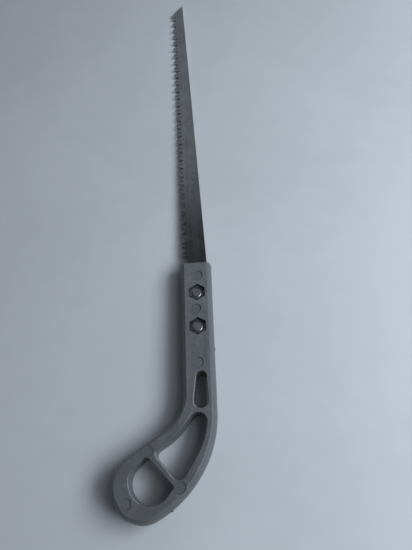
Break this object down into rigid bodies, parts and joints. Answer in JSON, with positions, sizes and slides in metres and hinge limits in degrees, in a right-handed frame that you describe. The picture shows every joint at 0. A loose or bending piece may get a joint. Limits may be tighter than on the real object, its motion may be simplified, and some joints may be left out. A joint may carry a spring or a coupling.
{
  "type": "keyhole saw",
  "caption": "Keyhole saw for cutting holes in board and timber: a tapered pointed toothed blade bolted into a moulded handle with a hooked looped end.",
  "frame": {"origin": "centre of the saw's footprint, on the flat back of the handle", "axes": "+Y from the handle to the tip of the blade, +Z out of the front face where the nuts are, +X away from the teeth; the back of the handle lies on Z = 0"},
  "size_m": [0.0606, 0.408, 0.014],
  "materials": {
    "handle_plastic": "mid grey moulded polypropylene, satin-matt, faint flow and ejector marks",
    "blade_steel": "cold-rolled carbon steel, ground teeth, fine lengthwise rolling lines",
    "plated_fastener": "bright zinc plate"
  },
  "bodies": {
    "root": {"handle": "handle_plastic", "blade": "blade_steel", "front_bolt": "plated_fastener", "front_nut": "plated_fastener", "rear_bolt": "plated_fastener", "rear_nut": "plated_fastener"}
  },
  "joints": []
}
